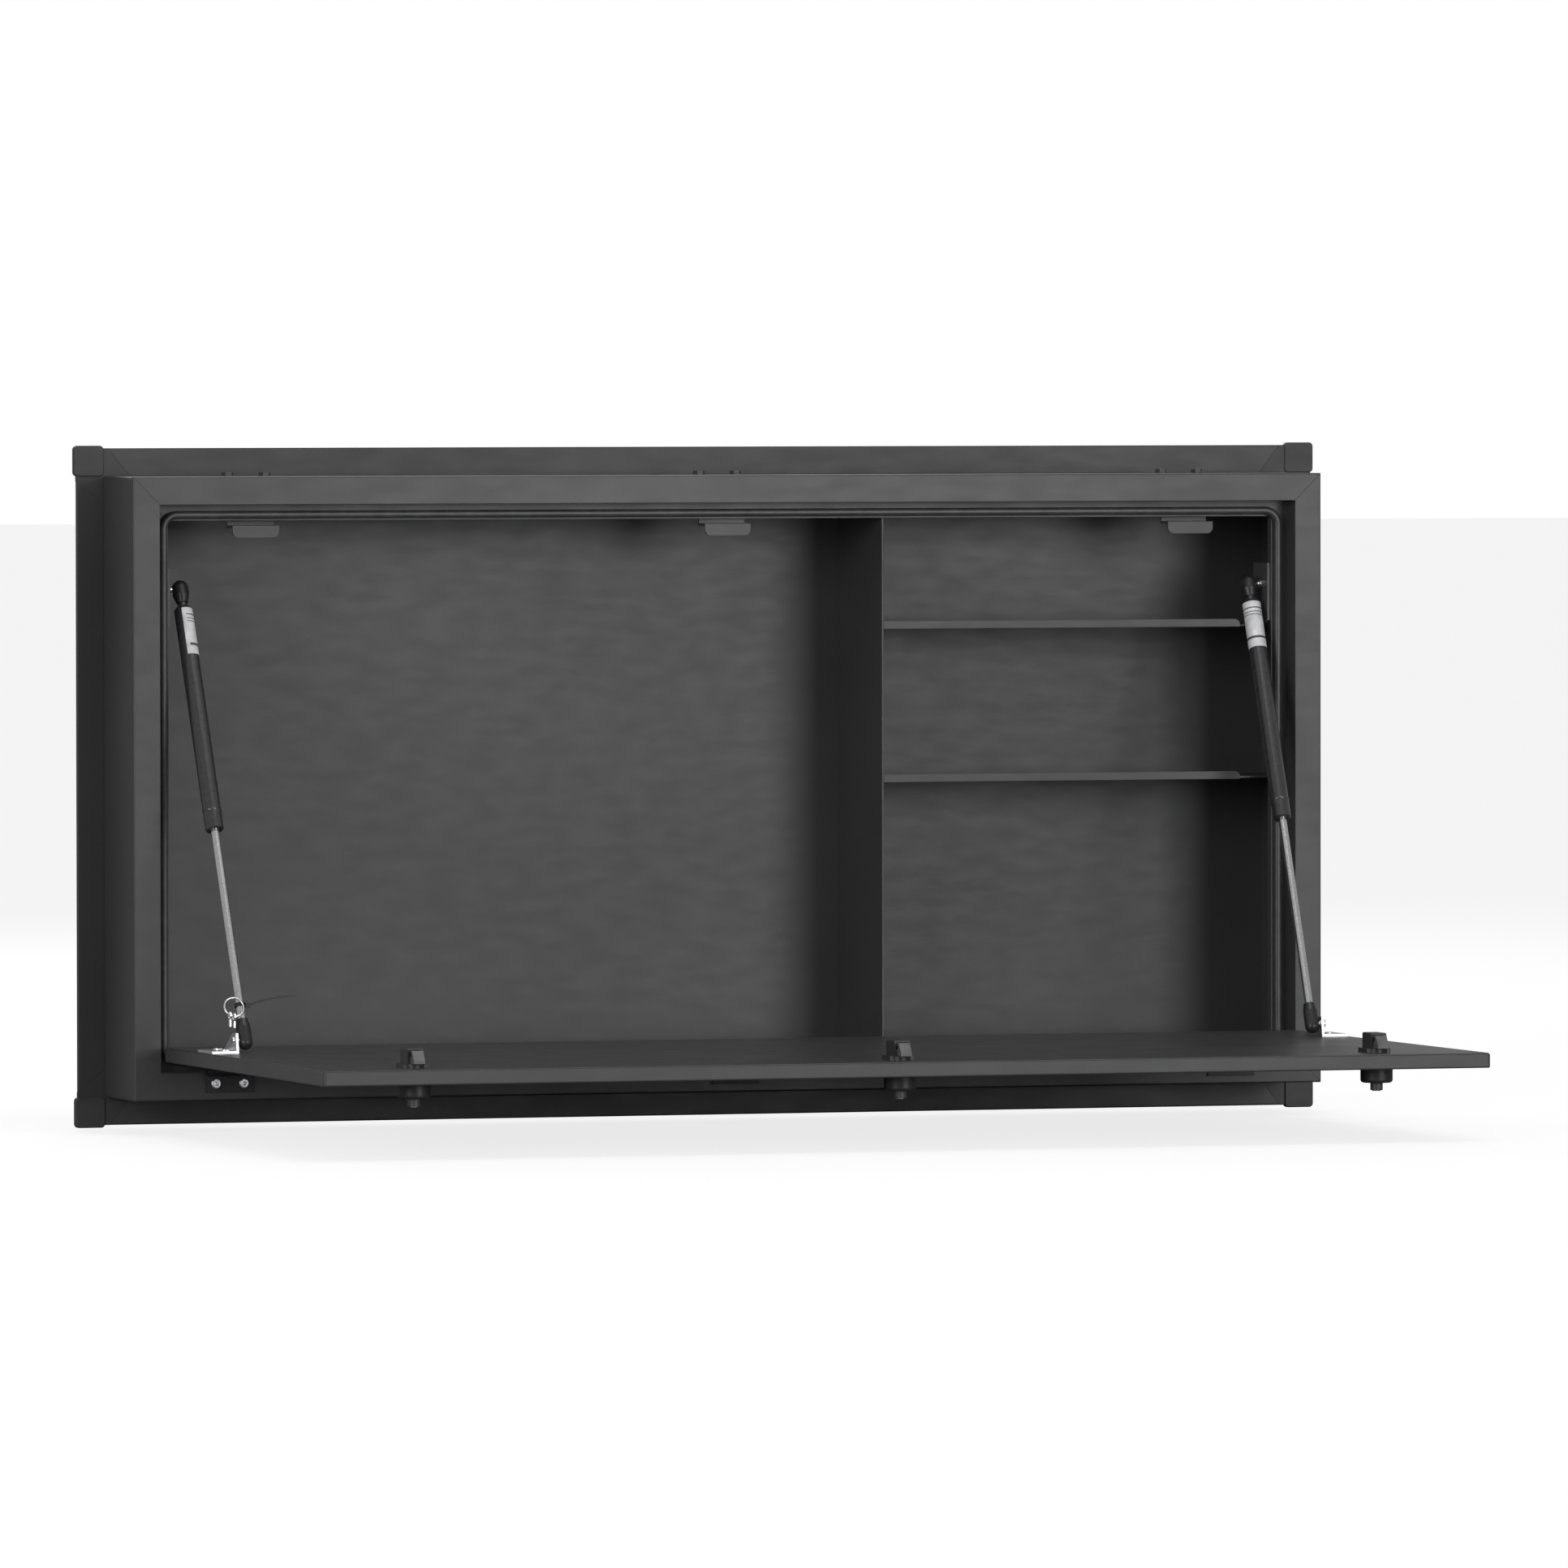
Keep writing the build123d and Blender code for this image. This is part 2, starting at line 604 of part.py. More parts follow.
LATCH_FIT = 0.05

with BuildPart() as latch_housings:
    for latch_x in LATCH_X:
        block(
            (latch_x - HOUSING_FLANGE, latch_x + HOUSING_FLANGE),
            HOUSING_Y,
            (DOOR_INNER, FLOOR_TOP),
        )
        block(
            (latch_x - HOUSING_HALF, latch_x + HOUSING_HALF),
            HOUSING_Y,
            (DOOR_INNER, HOUSING_TOP),
        )
    fillet(latch_housings.edges().filter_by(Axis.Y).group_by(Axis.Z)[-1], 1.5)
    for latch_x in LATCH_X:
        block(
            (latch_x - CAVITY_HALF, latch_x + CAVITY_HALF),
            (HOUSING_Y[0] - 1, HOUSING_Y[1] + 1),
            (FLOOR_TOP, BOLT_Z[1] + 0.3),
            Mode.SUBTRACT,
        )
        rod_z(latch_x, LATCH_Y, (DOOR_INNER - 1, BARREL_TOP), BARREL_R, Mode.SUBTRACT)
        rod_z(latch_x, LATCH_Y, (DOOR_INNER - 1, FLOOR_TOP + 1), STEM_R + 0.8, Mode.SUBTRACT)
save(latch_housings.part, "latch_housings")


def latch_bolt(latch_x):
    """Sliding bolt: bevelled nose, a well for the button's stem, and a slanted
    slot in each cheek that the stem's cross pin pulls it back by."""
    side_view = [
        (BOLT_Y[0], BOLT_Z[0]),
        (BOLT_Y[1], BOLT_Z[0]),
        (BOLT_Y[1], BOLT_Z[1]),
        (BOLT_Y[0] + BOLT_BEVEL, BOLT_Z[1]),
        (BOLT_Y[0], BOLT_Z[0] + BOLT_NOSE),
    ]
    well_y = (LATCH_Y - STEM_SLOT_HALF - BOLT_TRAVEL - 0.2, LATCH_Y + STEM_SLOT_HALF)
    with BuildPart() as bolt:
        with BuildSketch(Plane.YZ.offset(latch_x - BOLT_HALF)) as profile:
            with BuildLine():
                Polyline(*side_view, close=True)
            make_face()
            slant = Vector(-BOLT_TRAVEL, BUTTON_TRAVEL)
            start = Vector(LATCH_Y, CROSS_PIN_Z)
            with Locations(start + slant / 2):
                SlotCenterToCenter(
                    slant.length,
                    2 * (CROSS_PIN_R + LATCH_FIT),
                    rotation=degrees(atan2(slant.Y, slant.X)),
                    mode=Mode.SUBTRACT,
                )
        extrude(profile.sketch, amount=2 * BOLT_HALF)
        block(
            (latch_x - STEM_SLOT_HALF, latch_x + STEM_SLOT_HALF),
            well_y,
            (BOLT_Z[0] - 1, BOLT_Z[1] + 1),
            Mode.SUBTRACT,
        )
    return bolt.part


# ---- outside: round bezel with a barrel through the door, button and plug ----
BEZEL_R = 15.5
BEZEL_LOW = DOOR_OUTER - 14.3
BORE_TOP = BARREL_TOP - 5.5
BUTTON_LOW = BEZEL_LOW - 7.3
BUTTON_TOP = BORE_TOP - 16.0
PLUG_R = 4.0
PLUG_LOW = BUTTON_LOW - 0.6
PLUG_TOP = BUTTON_LOW + 12.0

with BuildPart() as latch_bezels:
    for latch_x in LATCH_X:
        rod_z(latch_x, LATCH_Y, (BEZEL_LOW, DOOR_OUTER), BEZEL_R)
    fillet(latch_bezels.edges().group_by(Axis.Z)[0], 3.0)
    for latch_x in LATCH_X:
        rod_z(latch_x, LATCH_Y, (DOOR_OUTER - 1, BARREL_TOP), BARREL_R)
        rod_z(latch_x, LATCH_Y, (BEZEL_LOW - 1, BORE_TOP), BUTTON_R + LATCH_FIT, Mode.SUBTRACT)
        rod_z(latch_x, LATCH_Y, (BORE_TOP - 1, BARREL_TOP + 1), STEM_R + LATCH_FIT, Mode.SUBTRACT)
save(latch_bezels.part, "latch_bezels")

SPRING_R = 4.6
SPRING_WIRE_R = 0.45
SPRING_TURNS = 6
SPRING_PITCH = (BORE_TOP - BUTTON_TOP - 2.4 * SPRING_WIRE_R) / SPRING_TURNS

with BuildPart() as latch_springs:
    for latch_x in LATCH_X:
        with BuildLine() as spring_line:
            Helix(
                SPRING_PITCH,
                SPRING_PITCH * SPRING_TURNS,
                SPRING_R,
                center=(latch_x, LATCH_Y, BUTTON_TOP + 1.2 * SPRING_WIRE_R),
            )
        with BuildSketch(Plane(origin=spring_line.line @ 0, z_dir=spring_line.line % 0)) as wire:
            Circle(SPRING_WIRE_R)
        sweep(wire.sketch, path=spring_line.line, is_frenet=True)
save(latch_springs.part, "latch_springs")


def latch_button(latch_x):
    """Push button with a stem up through the door and a cross pin near its tip."""
    with BuildPart() as button:
        rod_z(latch_x, LATCH_Y, (BUTTON_LOW, BUTTON_TOP), BUTTON_R)
        chamfer(button.edges().group_by(Axis.Z)[0], 0.6)
        rod_z(latch_x, LATCH_Y, (BUTTON_TOP - 1, STEM_TOP), STEM_R)
        cheek = BOLT_HALF - 0.3
        rod_x((latch_x - cheek, latch_x + cheek), LATCH_Y, CROSS_PIN_Z, CROSS_PIN_R)
        rod_z(latch_x, LATCH_Y, (BUTTON_LOW - 1, PLUG_TOP + 0.5), PLUG_R + LATCH_FIT, Mode.SUBTRACT)
    return button.part


def lock_plug(latch_x):
    """Key-lock plug with a keyway in its face."""
    with BuildPart() as plug:
        rod_z(latch_x, LATCH_Y, (PLUG_LOW, PLUG_TOP), PLUG_R)
        block(
            (latch_x - 0.8, latch_x + 0.8),
            (LATCH_Y - 2.9, LATCH_Y + 2.9),
            (PLUG_LOW - 1, PLUG_LOW + 8.0),
            Mode.SUBTRACT,
        )
    return plug.part


for latch_name, latch_x in zip(LATCH_NAMES, LATCH_X):
    save(latch_bolt(latch_x), f"latch_bolt_{latch_name}")
    save(latch_button(latch_x), f"latch_button_{latch_name}")
    save(lock_plug(latch_x), f"latch_lock_plug_{latch_name}")

# ------------------------------------------------------------- gas struts --

WALL_PLATE_X = (563.7, 566.7)
WALL_PLATE_Y = (LEDGE_BACK + 0.3, LEDGE_BACK + 41.0)
WALL_PLATE_Z = (155.5, 212.5)
STUD_END_X = 558.3      # stops just short of the socket: the open pivot
UPPER_Y = depth(UPPER_BALL[1])
UPPER_Z = UPPER_BALL[2]

with BuildPart() as strut_wall_brackets:
    for side_name, side in SIDES:
        block((side * WALL_PLATE_X[0], side * WALL_PLATE_X[1]), WALL_PLATE_Y, WALL_PLATE_Z)
        block(
            (side * WALL_PLATE_X[0], side * INSIDE_X),
            (WALL_PLATE_Y[1] - 3.0, WALL_PLATE_Y[1]),
            WALL_PLATE_Z,
        )
        rod_x((side * WALL_PLATE_X[0], side * WALL_PLATE_X[1]), UPPER_Y, UPPER_Z, STUD_R, Mode.SUBTRACT)
save(strut_wall_brackets.part, "strut_wall_brackets")

with BuildPart() as strut_wall_studs:
    for side_name, side in SIDES:
        rod_x((side * STUD_END_X, side * (WALL_PLATE_X[1] + 4.0)), UPPER_Y, UPPER_Z, STUD_R)
        rod_x((side * (STUD_END_X + 2.4), side * WALL_PLATE_X[0]), UPPER_Y, UPPER_Z, 4.2)
save(strut_wall_studs.part, "strut_wall_studs")

UPPER_SOCKET = (-9.0, 14.5)      # from the ball's centre, along the strut
LOWER_SOCKET = (-9.5, 21.0)
TUBE_START = 19.0
TUBE_END = 254.5
NECK_R = 4.5
GLAND = 12.0
PISTON = 10.0
PISTON_DEPTH = 56.0              # piston above the gland with the door open
SLIDE_FIT = 0.08


def strut_axis():
    """Planes at the lower and upper balls of the left strut, Z along it."""
    lower = Vector(-LOWER_BALL[0], LOWER_Y, LOWER_Z)
    upper = Vector(-UPPER_BALL[0], UPPER_Y, UPPER_Z)
    run = (upper - lower).normalized()
    low_plane = Plane(origin=lower, x_dir=(1, 0, -run.X / run.Z), z_dir=run)
    high_plane = Plane(origin=upper, x_dir=(1, 0, -run.X / run.Z), z_dir=-run)
    return low_plane, high_plane, (upper - lower).length


def along(plane, start, end, radius, mode=Mode.ADD, top_radius=None):
    """A round length on a plane's Z axis, straight or tapered."""
    with BuildSketch(plane.offset(start)) as base:
        Circle(radius)
    if top_radius is None:
        extrude(base.sketch, amount=end - start, mode=mode)
    else:
        with BuildSketch(plane.offset(end)) as top:
            Circle(top_radius)
        loft([base.sketch, top.sketch], mode=mode)


def socket(plane, reach, radius, taper_to):
    """Ball socket: round end, body tapering to the neck, stud hole outboard."""
    centre = plane.origin
    with BuildPart() as piece:
        along(plane, reach[0] + radius, reach[1] - 8.0, radius)
        along(plane, reach[1] - 8.0, reach[1], radius, top_radius=taper_to)
        with Locations(plane.offset(reach[0] + radius)):
            Sphere(radius)
        with Locations(centre):
            Sphere(BALL_R + SLIDE_FIT, mode=Mode.SUBTRACT)
        rod_x((centre.X, centre.X - 2 * radius), centre.Y, centre.Z, STUD_R + 0.5, Mode.SUBTRACT)
    return piece.part


def save_pair(left_part, name):
    """Write the left piece and its mirror image on the right."""
    save(left_part, f"{name}_left")
    save(mirror(left_part, about=Plane.YZ, mode=Mode.PRIVATE), f"{name}_right")


low_plane, high_plane, open_length = strut_axis()
gland_face = open_length - TUBE_END

save_pair(socket(high_plane, UPPER_SOCKET, UPPER_SOCKET_R, NECK_R + 1.0), "strut_upper_socket")
save_pair(socket(low_plane, LOWER_SOCKET, SOCKET_R, ROD_R + 1.5), "strut_lower_socket")

with BuildPart() as strut_tube:
    along(high_plane, UPPER_SOCKET[1], TUBE_START, NECK_R)
    along(high_plane, TUBE_START, TUBE_START + 3.0, TUBE_R - 2.5, top_radius=TUBE_R)
    along(high_plane, TUBE_START + 3.0, TUBE_END - 1.5, TUBE_R)
    along(high_plane, TUBE_END - 1.5, TUBE_END, TUBE_R, top_radius=TUBE_R - 1.5)
    along(high_plane, TUBE_START + 6.0, TUBE_END - GLAND, TUBE_BORE_R, Mode.SUBTRACT)
    along(high_plane, TUBE_END - GLAND - 1, TUBE_END + 1, ROD_R + SLIDE_FIT, Mode.SUBTRACT)
save_pair(strut_tube.part, "strut_tube")

with BuildPart() as strut_rod:
    piston_z = gland_face + PISTON_DEPTH
    along(low_plane, LOWER_SOCKET[1], piston_z, ROD_R)
    along(low_plane, piston_z, piston_z + PISTON, TUBE_BORE_R - 0.3)
save_pair(strut_rod.part, "strut_rod")

# --------------------------------------------- keys, tied to the left strut --

TIE_ALONG = 36.0                 # up the rod from the lower ball
TIE_THICK = 1.2
TIE_HALF = 1.8
RING_R = 9.5
RING_WIRE = 0.9
KEY_THICK = 2.0

tie_spot = low_plane.from_local_coords(Vector(0, 0, TIE_ALONG))
tie_plane = low_plane.offset(TIE_ALONG)

with BuildPart() as cable_tie:
    along(tie_plane, -TIE_HALF, TIE_HALF, ROD_R + TIE_THICK)
    along(tie_plane, -TIE_HALF - 1, TIE_HALF + 1, ROD_R, Mode.SUBTRACT)
    head_x = tie_spot.X + ROD_R + TIE_THICK
    block(
        (head_x - 0.6, head_x + 4.0),
        (tie_spot.Y - 3.0, tie_spot.Y + 3.0),
        (tie_spot.Z - 2.4, tie_spot.Z + 2.4),
    )
    tail_start = (head_x + 3.0, tie_spot.Y, tie_spot.Z)
    with BuildLine() as tail:
        Spline(
            tail_start,
            (head_x + 26.0, tie_spot.Y + 1.0, tie_spot.Z + 6.0),
            (head_x + 50.0, tie_spot.Y + 2.0, tie_spot.Z + 8.5),
        )
    with BuildSketch(Plane(origin=tail.line @ 0, x_dir=(0, 1, 0), z_dir=tail.line % 0)) as band:
        Rectangle(2 * TIE_HALF, TIE_THICK)
    sweep(band.sketch, path=tail.line)
save(cable_tie.part, "cable_tie")

RING_DROP = 4.0                  # ring centre below the tie, along the rod
RING_X = -8.0

ring_y = -ROD_R - TIE_THICK - RING_WIRE - SLIDE_FIT
ring_plane = Plane(
    origin=low_plane.from_local_coords(Vector(RING_X, ring_y, TIE_ALONG - RING_DROP)),
    x_dir=low_plane.x_dir,
    z_dir=-low_plane.y_dir,
)

with BuildPart() as key_ring:
    with Locations(ring_plane):
        Torus(RING_R, RING_WIRE)
save(key_ring.part, "key_ring")

KEY_SHIFTS = (-5.2, -1.2)
KEY_BOW_R = 4.2
KEY_HOLE_R = 2.8
KEY_HANG = 0.7                   # hole centre below the ring wire
KEY_REACH = 10.5


def key(x_shift):
    """A flat key seen on edge: round bow with a hole, and a blade below."""
    drop = (RING_R**2 - x_shift**2) ** 0.5
    wire = ring_plane.from_local_coords(Vector(x_shift, -drop, 0))
    hole_z = wire.Z - KEY_HANG
    span = (wire.X - KEY_THICK / 2, wire.X + KEY_THICK / 2)
    rod_x(span, wire.Y, hole_z, KEY_BOW_R)
    block(span, (wire.Y - 2.0, wire.Y + 2.0), (hole_z - KEY_REACH, hole_z))
    rod_x((span[0] - 1, span[1] + 1), wire.Y, hole_z, KEY_HOLE_R, Mode.SUBTRACT)


with BuildPart() as keys:
    for x_shift in KEY_SHIFTS:
        key(x_shift)
save(keys.part, "keys")
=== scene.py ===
import bmesh
import bpy
import json
import math
from mathutils import Matrix, Vector


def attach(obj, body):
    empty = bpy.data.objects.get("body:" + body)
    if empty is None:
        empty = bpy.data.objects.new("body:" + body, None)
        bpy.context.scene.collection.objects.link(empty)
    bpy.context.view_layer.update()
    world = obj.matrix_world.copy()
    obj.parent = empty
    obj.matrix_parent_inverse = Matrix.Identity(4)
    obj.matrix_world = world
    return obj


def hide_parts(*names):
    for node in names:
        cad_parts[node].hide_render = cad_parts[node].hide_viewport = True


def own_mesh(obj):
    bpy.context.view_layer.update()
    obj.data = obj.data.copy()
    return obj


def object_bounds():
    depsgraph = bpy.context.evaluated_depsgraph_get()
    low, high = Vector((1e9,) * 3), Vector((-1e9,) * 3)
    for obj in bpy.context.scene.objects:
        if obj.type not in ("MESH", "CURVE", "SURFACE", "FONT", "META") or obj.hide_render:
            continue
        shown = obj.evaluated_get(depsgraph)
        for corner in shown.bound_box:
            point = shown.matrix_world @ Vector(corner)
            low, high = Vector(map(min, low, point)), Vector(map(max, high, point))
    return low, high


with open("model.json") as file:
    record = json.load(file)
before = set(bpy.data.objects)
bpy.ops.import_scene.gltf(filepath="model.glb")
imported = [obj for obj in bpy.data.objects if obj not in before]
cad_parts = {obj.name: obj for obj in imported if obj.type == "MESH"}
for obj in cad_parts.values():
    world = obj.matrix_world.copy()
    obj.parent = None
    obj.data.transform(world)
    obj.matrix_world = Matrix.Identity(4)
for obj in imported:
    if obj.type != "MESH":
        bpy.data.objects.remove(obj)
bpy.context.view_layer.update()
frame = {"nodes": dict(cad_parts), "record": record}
nodes = frame["nodes"]
SLOTS = {s["node"]: s["material_slot"] for s in frame["record"]["subparts"]}

# ------------------------------------------------------------------ camera --

CAMERA_AT = (-4.54595, -14.24031, 0.39415)
CAMERA_RIGHT = (0.95055, -0.31057, -0.00138)
CAMERA_UP = (0.00960, 0.02493, 0.99964)
CAMERA_BACK = (-0.31042, -0.95022, 0.02668)
LENS = 347.59

camera_data = bpy.data.cameras.new("camera")
camera_data.sensor_width = 36.0
camera_data.lens = LENS
camera_data.clip_end = 200.0
camera = bpy.data.objects.new("camera", camera_data)
bpy.context.collection.objects.link(camera)
turn = Matrix((CAMERA_RIGHT, CAMERA_UP, CAMERA_BACK)).transposed()
camera.matrix_world = Matrix.Translation(CAMERA_AT) @ turn.to_4x4()
bpy.context.scene.camera = camera


# --------------------------------------------------------------- materials --

EDGE_RADIUS = 0.0009


class Look:
    """A Principled material whose inputs are fed by noise in object space."""

    def __init__(self, name, metallic, roughness):
        self.material = bpy.data.materials.new(name)
        self.material.use_nodes = True
        self.tree = self.material.node_tree
        self.shader = self.tree.nodes["Principled BSDF"]
        self.shader.inputs["Metallic"].default_value = metallic
        self.shader.inputs["Roughness"].default_value = roughness
        self.coords = self.tree.nodes.new("ShaderNodeTexCoord").outputs["Object"]

    def noise(self, scale, detail=4.0, stretch=(1, 1, 1)):
        mapping = self.tree.nodes.new("ShaderNodeMapping")
        mapping.inputs["Scale"].default_value = stretch
        self.tree.links.new(self.coords, mapping.inputs["Vector"])
        texture = self.tree.nodes.new("ShaderNodeTexNoise")
        texture.inputs["Scale"].default_value = scale
        texture.inputs["Detail"].default_value = detail
        self.tree.links.new(mapping.outputs["Vector"], texture.inputs["Vector"])
        return texture.outputs["Fac"]

    def spread(self, value, low, high, start=0.3, end=0.7):
        """Map a noise value's middle range onto low to high."""
        node = self.tree.nodes.new("ShaderNodeMapRange")
        node.inputs["From Min"].default_value = start
        node.inputs["From Max"].default_value = end
        node.inputs["To Min"].default_value = low
        node.inputs["To Max"].default_value = high
        self.tree.links.new(value, node.inputs["Value"])
        return node.outputs["Result"]

    def times(self, first, second):
        node = self.tree.nodes.new("ShaderNodeMath")
        node.operation = "MULTIPLY"
        self.tree.links.new(first, node.inputs[0])
        self.tree.links.new(second, node.inputs[1])
        return node.outputs[0]

    def colour(self, value, dark, light):
        """Blend the base colour between two tones by a 0 to 1 value."""
        node = self.tree.nodes.new("ShaderNodeMix")
        node.data_type = "RGBA"
        self.tree.links.new(value, node.inputs["Factor"])
        node.inputs["A"].default_value = (*dark, 1)
        node.inputs["B"].default_value = (*light, 1)
        self.tree.links.new(node.outputs["Result"], self.shader.inputs["Base Color"])

    def roughen(self, value):
        self.tree.links.new(value, self.shader.inputs["Roughness"])

    def bump(self, value, strength, distance, edge):
        """Fine relief over edges that are rounded by a small radius."""
        rounded = self.tree.nodes.new("ShaderNodeBevel")
        rounded.samples = 4
        rounded.inputs["Radius"].default_value = edge
        node = self.tree.nodes.new("ShaderNodeBump")
        self.tree.links.new(rounded.outputs["Normal"], node.inputs["Normal"])
        node.inputs["Strength"].default_value = strength
        node.inputs["Distance"].default_value = distance
        self.tree.links.new(value, node.inputs["Height"])
        self.tree.links.new(node.outputs["Normal"], self.shader.inputs["Normal"])


def grey(value):
    return (value, value, value * 1.02)


def powder_coat(name, tone, roughness=0.4, peel=0.16):
    """Satin charcoal powder coat: orange peel, faint clouding, a few scuffs."""
    look = Look(name, 0.0, roughness)
    look.shader.inputs["Specular IOR Level"].default_value = 0.5
    clouds = look.spread(look.noise(7.0, 5.0), 0.0, 1.0)
    look.colour(clouds, grey(tone * 0.92), grey(tone * 1.08))
    scuffs = look.spread(look.noise(26.0, 8.0, (1, 1, 3)), 0.94, 1.06, 0.35, 0.65)
    sheen = look.spread(look.noise(3.5, 3.0), roughness * 0.93, roughness * 1.07)
    look.roughen(look.times(scuffs, sheen))
    look.bump(look.noise(850.0, 3.0), peel, 0.0003, EDGE_RADIUS)
    return look.material


def plated(name, tone, roughness, grain=260.0):
    """Small bright hardware: slight clouding and fine machining grain."""
    look = Look(name, 1.0, roughness)
    look.colour(look.spread(look.noise(grain, 4.0), 0.0, 1.0), grey(tone * 0.84), grey(tone * 1.1))
    look.roughen(look.spread(look.noise(grain * 2), roughness * 0.8, roughness * 1.25))
    look.bump(look.noise(grain * 5, 2.0), 0.06, 0.0002, EDGE_RADIUS / 2)
    return look.material


def moulded(name, tone, roughness, grain=900.0, coat=0.0, strength=0.12):
    """Black paint, moulded plastic or rubber with a fine grained skin."""
    look = Look(name, 0.0, roughness)
    look.shader.inputs["Coat Weight"].default_value = coat
    look.shader.inputs["Coat Roughness"].default_value = 0.15
    look.colour(look.spread(look.noise(grain / 6), 0.0, 1.0), grey(tone * 0.8), grey(tone * 1.25))
    look.roughen(look.spread(look.noise(grain / 3), roughness * 0.88, roughness * 1.15))
    look.bump(look.noise(grain, 3.0), strength, 0.0003, EDGE_RADIUS / 2)
    return look.material


COAT = 0.055
LOOKS = {
    "cabinet_sheet": powder_coat("cabinet_sheet", COAT),
    "front_frame": powder_coat("front_frame", COAT * 1.05, 0.38),
    "flange_bar": powder_coat("flange_bar", COAT * 0.8, 0.45),
    "corner_casting": powder_coat("corner_casting", COAT * 0.8, 0.5, 0.3),
    "seal_rubber": moulded("seal_rubber", 0.055, 0.34, 700.0),
    # bracket_paint is the cabinet's charcoal coat made 1.3 times lighter: a painted highlight
    # standing for the light the brackets catch.
    "bracket_paint": powder_coat("bracket_paint", COAT * 1.3, 0.4),
    "bracket_steel": plated("bracket_steel", 0.85, 0.34),
    "fastener_zinc": plated("fastener_zinc", 0.8, 0.26),
    "fastener_black": moulded("fastener_black", 0.045, 0.4),
    "hinge_paint": moulded("hinge_paint", 0.03, 0.45),
    "rivet_alloy": plated("rivet_alloy", 0.95, 0.32),
    "door_sheet": powder_coat("door_sheet", COAT * 1.05, 0.38),
    "latch_body": moulded("latch_body", 0.035, 0.42),
    # latch_bolt is black plastic made three times lighter than the latch body: a painted highlight
    # for the light its bevelled face catches.
    "latch_bolt": moulded("latch_bolt", 0.11, 0.34, 600.0),
    "bezel_black": moulded("bezel_black", 0.025, 0.4, 700.0),
    "button_black": moulded("button_black", 0.07, 0.36, 700.0),
    "lock_metal": plated("lock_metal", 0.45, 0.3),
    "spring_steel": plated("spring_steel", 0.5, 0.3),
    "strut_black": moulded("strut_black", 0.032, 0.3, 1500.0, 0.8, 0.04),
    "strut_rod": plated("strut_rod", 0.9, 0.2, 700.0),
    "socket_plastic": moulded("socket_plastic", 0.022, 0.36),
    "tie_nylon": moulded("tie_nylon", 0.014, 0.4),
    "key_steel": plated("key_steel", 0.95, 0.28),
    "label": moulded("label", 0.72, 0.4, 500.0, 0.3, 0.05),
    "label_print": moulded("label_print", 0.08, 0.5, 500.0, 0.3, 0.05),
}


def wear(obj, look_name):
    obj.data.materials.clear()
    obj.data.materials.append(LOOKS[look_name])


for node_name, node in nodes.items():
    look_name = SLOTS[node_name]
    if node.material_slots:
        for material_slot in node.material_slots:
            material_slot.material = LOOKS[look_name]
    else:
        node.data.materials.append(LOOKS[look_name])


# ------------------------------------------------------------------ pieces --

def piece(name, mesh_maker, body, look_name, smooth=True):
    """Make a mesh, dress it and let it ride on a body."""
    mesh = bpy.data.meshes.new(name)
    bm = bmesh.new()
    mesh_maker(bm)
    bmesh.ops.recalc_face_normals(bm, faces=bm.faces)
    bm.to_mesh(mesh)
    bm.free()
    for polygon in mesh.polygons:
        polygon.use_smooth = smooth
    obj = bpy.data.objects.new(name, mesh)
    bpy.context.collection.objects.link(obj)
    wear(obj, look_name)
    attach(obj, body)
    return obj


def lathe(bm, profile, segments, place):
    """Turn (radius, height) pairs about local Z and set the result in place."""
    rings = []
    for radius, height in profile:
        ring = []
        for i in range(segments):
            angle = 2 * math.pi * i / segments
            point = Vector((radius * math.cos(angle), radius * math.sin(angle), height))
            ring.append(bm.verts.new(place @ point))
        rings.append(ring)
    for lower, upper in zip(rings, rings[1:]):
        for i in range(segments):
            j = (i + 1) % segments
            bm.faces.new((lower[i], lower[j], upper[j], upper[i]))


# A pale sleeve with plain bars and a crimped ring go round each strut's tube.
# Lengths along a strut are measured from its upper ball.
UPPER_BALL = Vector((0.5495, -0.1255, 0.192))
LOWER_BALL = Vector((0.543, -0.3255, -0.2365))
TUBE_R = 0.009
SLEEVE_FROM = 0.0225
SLEEVE_TO = 0.0715
SLEEVE_THICK = 0.00016
SLEEVE_R = TUBE_R + SLEEVE_THICK
PRINT_PROUD = 0.00004
PRINT_MARGIN = 24
LABEL_SPAN = {"left": (-235, -63), "right": (-190, 60)}
PRINT_ROWS = ((0.029, 0.0302), (0.0335, 0.0343), (0.0365, 0.0373), (0.060, 0.0625))
CRIMP_SEGMENTS = 64
CRIMP_PROFILE = (
    (TUBE_R - 0.0002, 0.2330),
    (TUBE_R + 0.0003, 0.2338),
    (TUBE_R + 0.0003, 0.2350),
    (TUBE_R - 0.0002, 0.2358),
)


def strut_place(side):
    """Matrix whose Z runs down the strut from its upper ball."""
    upper = Vector((side * UPPER_BALL.x, UPPER_BALL.y, UPPER_BALL.z))
    lower = Vector((side * LOWER_BALL.x, LOWER_BALL.y, LOWER_BALL.z))
    down = (lower - upper).normalized()
    across = Vector((1, 0, 0)).cross(down).normalized()
    first = across.cross(down).normalized()
    turned = Matrix((first, across, down)).transposed()
    if turned.determinant() < 0:
        turned = Matrix((-first, across, down)).transposed()
    return Matrix.Translation(upper) @ turned.to_4x4()


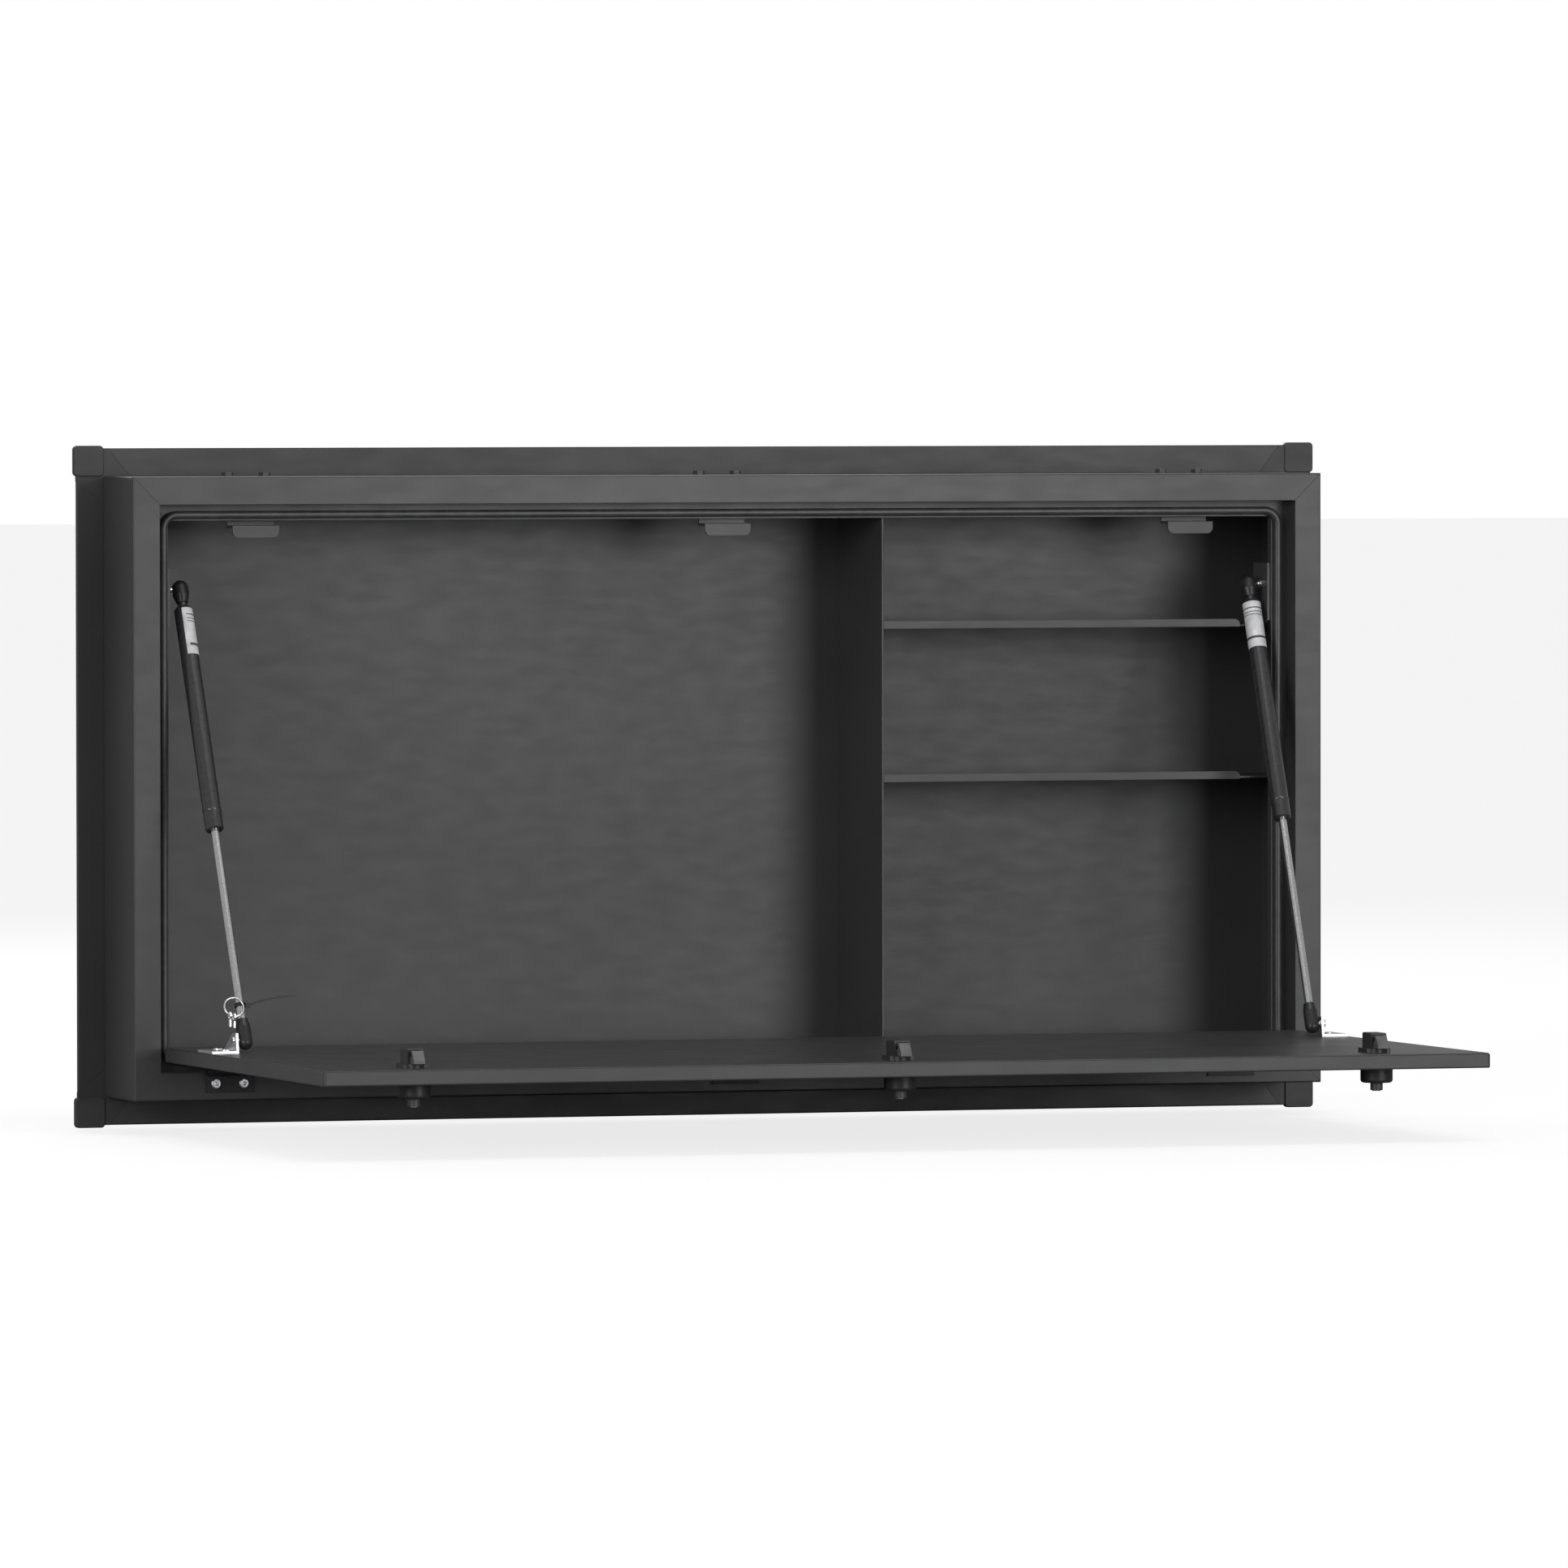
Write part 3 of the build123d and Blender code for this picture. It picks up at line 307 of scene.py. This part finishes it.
def wrap(bm, place, radius, start, end, span, steps=40):
    """A thin curved patch round the strut's axis, over a span of degrees."""
    inside, outside = radius - SLEEVE_THICK, radius
    rows = []
    for i in range(steps + 1):
        angle = math.radians(span[0] + (span[1] - span[0]) * i / steps)
        row = []
        for r, h in ((inside, start), (outside, start), (outside, end), (inside, end)):
            point = Vector((r * math.cos(angle), r * math.sin(angle), h))
            row.append(bm.verts.new(place @ point))
        rows.append(row)
    for first, second in zip(rows, rows[1:]):
        for i in range(4):
            j = (i + 1) % 4
            bm.faces.new((first[i], first[j], second[j], second[i]))
    bm.faces.new(rows[0])
    bm.faces.new(list(reversed(rows[-1])))


for side_name, side in (("left", -1), ("right", 1)):
    place = strut_place(side)
    span = LABEL_SPAN[side_name]
    body = f"strut_tube_{side_name}"

    def label(bm, place=place, span=span):
        wrap(bm, place, SLEEVE_R, SLEEVE_FROM, SLEEVE_TO, span)

    def bars(bm, place=place, span=span):
        inner = (span[0] + PRINT_MARGIN, span[1] - PRINT_MARGIN)
        for start, end in PRINT_ROWS:
            wrap(bm, place, SLEEVE_R + PRINT_PROUD, start, end, inner)

    piece(f"strut_label_{side_name}", label, body, "label", False)
    piece(f"strut_label_bars_{side_name}", bars, body, "label_print", False)

    def crimp(bm, place=place):
        lathe(bm, CRIMP_PROFILE, CRIMP_SEGMENTS, place)

    piece(f"strut_crimp_{side_name}", crimp, body, "strut_black")

# ------------------------------------------------------------- soft pieces --

LATCHES = (("left", -0.48), ("middle", 0.0), ("right", 0.48))

# The shut door's bracket feet press the seal and each button presses its
# spring, so copies of those two nodes stand in for them.
SPRING_REACH = 0.02


def soft_copy(name, node_name, body, centre_x=None):
    """A piece with a node's mesh, or with the part of it near centre_x."""
    mesh = nodes[node_name].data.copy()
    if centre_x is not None:
        bm = bmesh.new()
        bm.from_mesh(mesh)
        others = [v for v in bm.verts if abs(v.co.x - centre_x) > SPRING_REACH]
        bmesh.ops.delete(bm, geom=others, context="VERTS")
        bm.to_mesh(mesh)
        bm.free()
    obj = bpy.data.objects.new(name, mesh)
    bpy.context.collection.objects.link(obj)
    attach(obj, body)
    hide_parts(node_name)
    return obj


seal = soft_copy("seal_bulb", "door_seal", "cabinet")
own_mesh(seal)

for latch_name, latch_x in LATCHES:
    spring = soft_copy(f"latch_spring_{latch_name}", "latch_springs", "door", latch_x)
    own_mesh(spring)

# ------------------------------------------------------------------- stage --

FLOOR_GAP = 0.003
FLOOR_HALF = 60
FLOOR_GLOW = 0.8
WORLD_LIGHT = 0.3
WORLD_SEEN = 1.0

floor_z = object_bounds()[0][2] - FLOOR_GAP

floor_mesh = bpy.data.meshes.new("floor")
floor_mesh.from_pydata(
    [
        (-FLOOR_HALF, -FLOOR_HALF, floor_z),
        (FLOOR_HALF, -FLOOR_HALF, floor_z),
        (FLOOR_HALF, FLOOR_HALF, floor_z),
        (-FLOOR_HALF, FLOOR_HALF, floor_z),
    ],
    [],
    [(0, 1, 2, 3)],
)
floor = bpy.data.objects.new("floor", floor_mesh)
bpy.context.collection.objects.link(floor)
floor_material = bpy.data.materials.new("floor")
floor_material.use_nodes = True
floor_tree = floor_material.node_tree
floor_shader = floor_tree.nodes["Principled BSDF"]
floor_shader.inputs["Base Color"].default_value = (0.3, 0.3, 0.3, 1)
floor_shader.inputs["Roughness"].default_value = 0.9
floor_shader.inputs["Specular IOR Level"].default_value = 0.1
floor_ray = floor_tree.nodes.new("ShaderNodeLightPath")
floor_glow = floor_tree.nodes.new("ShaderNodeMath")
floor_glow.operation = "MULTIPLY"
floor_glow.inputs[1].default_value = FLOOR_GLOW
floor_tree.links.new(floor_ray.outputs["Is Camera Ray"], floor_glow.inputs[0])
floor_shader.inputs["Emission Color"].default_value = (1, 1, 1, 1)
floor_tree.links.new(floor_glow.outputs[0], floor_shader.inputs["Emission Strength"])
floor_mesh.materials.append(floor_material)

bpy.context.scene.view_settings.view_transform = "Standard"
world = bpy.data.worlds.new("studio")
bpy.context.scene.world = world
world.use_nodes = True
world_tree = world.node_tree
background = world_tree.nodes["Background"]
world_ray = world_tree.nodes.new("ShaderNodeLightPath")
world_level = world_tree.nodes.new("ShaderNodeMapRange")
world_level.inputs["To Min"].default_value = WORLD_LIGHT
world_level.inputs["To Max"].default_value = WORLD_SEEN
world_tree.links.new(world_ray.outputs["Is Camera Ray"], world_level.inputs["Value"])
world_tree.links.new(world_level.outputs["Result"], background.inputs["Strength"])
background.inputs["Color"].default_value = (1, 1, 1, 1)


def area_light(name, position, target, size, power):
    data = bpy.data.lights.new(name, "AREA")
    data.shape = "RECTANGLE"
    data.size, data.size_y = size
    data.energy = power
    light = bpy.data.objects.new(name, data)
    bpy.context.collection.objects.link(light)
    light.location = position
    light.rotation_euler = (Vector(target) - Vector(position)).to_track_quat("-Z", "Y").to_euler()


area_light("key", (2.6, -7.2, 0.9), (0, -0.1, 0), (2.8, 2.4), 125)
area_light("fill", (-5.0, -4.5, 1.2), (0, -0.3, 0), (3.0, 2.0), 115)
area_light("top", (0.3, -1.6, 3.2), (0, -0.3, 0), (2.6, 1.6), 30)
area_light("back", (0.0, 4.0, 2.5), (0, 0, 0), (4.0, 2.0), 60)
